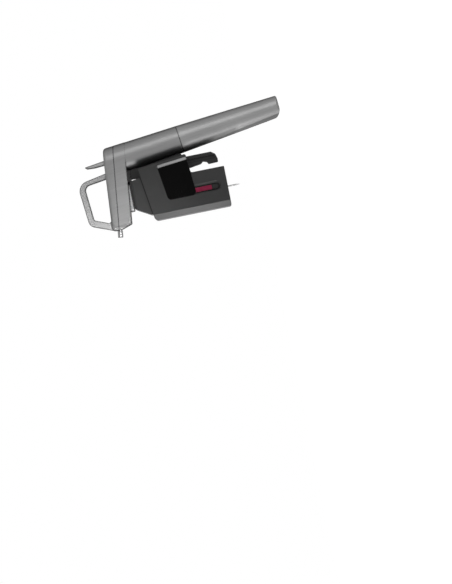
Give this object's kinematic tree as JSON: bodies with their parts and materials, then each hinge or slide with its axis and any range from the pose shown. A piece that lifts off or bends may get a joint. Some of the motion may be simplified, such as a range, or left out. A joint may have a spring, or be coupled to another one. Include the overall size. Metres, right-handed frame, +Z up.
{
  "type": "wine preservation dispenser",
  "caption": "Needle wine dispenser: a bottle-neck clamp carries a sliding head with hollow needle, gas-capsule handle, trigger loop and spout.",
  "frame": {"origin": "centre of the seat that the bottle's rim meets, on the needle's axis", "axes": "+Z up along the needle, away from the bottle; +X forward to the spout; +Y to the left, the side that the picture shows"},
  "size_m": [0.1175, 0.0456, 0.2288],
  "materials": {
    "dark_plastic": "satin moulded plastic, dark grey",
    "gunmetal": "brushed and anodised in gunmetal grey",
    "bright_steel": "brushed steel",
    "polished_steel": "polished steel",
    "gloss_black": "glossy black plastic",
    "trim_grey": "brushed strip",
    "maroon": "maroon plastic",
    "brass": "machined brass",
    "rubber": "black rubber",
    "glide": "dark bearing plastic",
    "spring_steel": "spring wire"
  },
  "bodies": {
    "base": {"base_shell": "dark_plastic", "base_collar": "dark_plastic", "collar_screws": "polished_steel", "label_left": "gloss_black", "label_right": "gloss_black", "trim_left": "trim_grey", "trim_right": "trim_grey", "rail_guides": "glide", "needle_guide": "glide", "rim_bumper": "rubber", "jaw_pins": "polished_steel"},
    "jaw_left_body": {"jaw_left": "dark_plastic", "jaw_inlay_left": "maroon", "jaw_pad_left": "rubber", "jaw_spring_left": "spring_steel"},
    "jaw_right_body": {"jaw_right": "dark_plastic", "jaw_inlay_right": "maroon", "jaw_pad_right": "rubber", "jaw_spring_right": "spring_steel"},
    "head": {"head_body": "gunmetal", "head_cap": "gunmetal", "cap_screws": "polished_steel", "foot_plate": "bright_steel", "thumb_rest": "bright_steel", "rail": "dark_plastic", "rail_screws": "polished_steel", "needle_hub": "brass", "needle": "polished_steel", "needle_seal": "rubber", "spout_tube": "polished_steel", "spout_seal": "rubber", "trigger_pin": "polished_steel", "valve_sleeve": "brass", "valve_spring": "spring_steel", "regulator_body": "brass", "regulator_plug": "brass", "pierce_pin": "polished_steel", "pierce_gasket": "rubber", "thread_ring": "polished_steel"},
    "trigger": {"trigger_loop": "bright_steel"},
    "valve": {"valve_stem": "polished_steel", "valve_seal": "rubber"},
    "piston": {"regulator_piston": "polished_steel", "piston_seal": "rubber", "regulator_spring": "spring_steel"},
    "capsule": {"gas_capsule": "polished_steel"},
    "cup": {"handle_cup": "gunmetal", "cup_spigot": "polished_steel", "cup_seal": "rubber"}
  },
  "joints": [
    {"name": "head_slide", "type": "slide", "parent": "base", "child": "head", "axis": [0, 0, 1], "range_m": [0, 0.062]},
    {"name": "trigger_press", "type": "hinge", "parent": "head", "child": "trigger", "pos_m": [0.018, 0, 0.087], "axis": [0, -1, 0], "range_deg": [0, 3], "stiffness_Nm_per_rad": 2, "springref_deg": -2.86},
    {"name": "valve_travel", "type": "slide", "parent": "head", "child": "valve", "axis": [0, 0, -1], "range_m": [0, 0.0029], "stiffness_N_per_m": 300, "springref_m": -0.001, "deforming": ["valve_spring"]},
    {"name": "piston_travel", "type": "slide", "parent": "head", "child": "piston", "axis": [0.1271, 0, 0.9919], "range_m": [0, 0.0008], "stiffness_N_per_m": 2000, "springref_m": -0.0005},
    {"name": "capsule_slide", "type": "slide", "parent": "head", "child": "capsule", "axis": [-0.1271, 0, -0.9919], "range_m": [0, 0.009]},
    {"name": "cup_turn", "type": "hinge", "parent": "capsule", "child": "cup", "pos_m": [-0.0599, 0, -0.0007], "axis": [-0.1271, 0, -0.9919], "range_deg": [0, 1080]},
    {"name": "jaw_left_swing", "type": "hinge", "parent": "base", "child": "jaw_left_body", "pos_m": [0, 0.0172, 0.0056], "axis": [1, 0, 0], "range_deg": [-1.5, 2.4], "stiffness_Nm_per_rad": 1.5},
    {"name": "jaw_right_swing", "type": "hinge", "parent": "base", "child": "jaw_right_body", "pos_m": [0, -0.0172, 0.0056], "axis": [-1, 0, 0], "range_deg": [-1.5, 2.4], "stiffness_Nm_per_rad": 1.5}
  ],
  "couplings": [
    {"joint": "valve_travel", "follows": "trigger_press", "m_per_rad": 0.054},
    {"joint": "cup_turn", "follows": "capsule_slide", "rad_per_m": 2094.4}
  ]
}
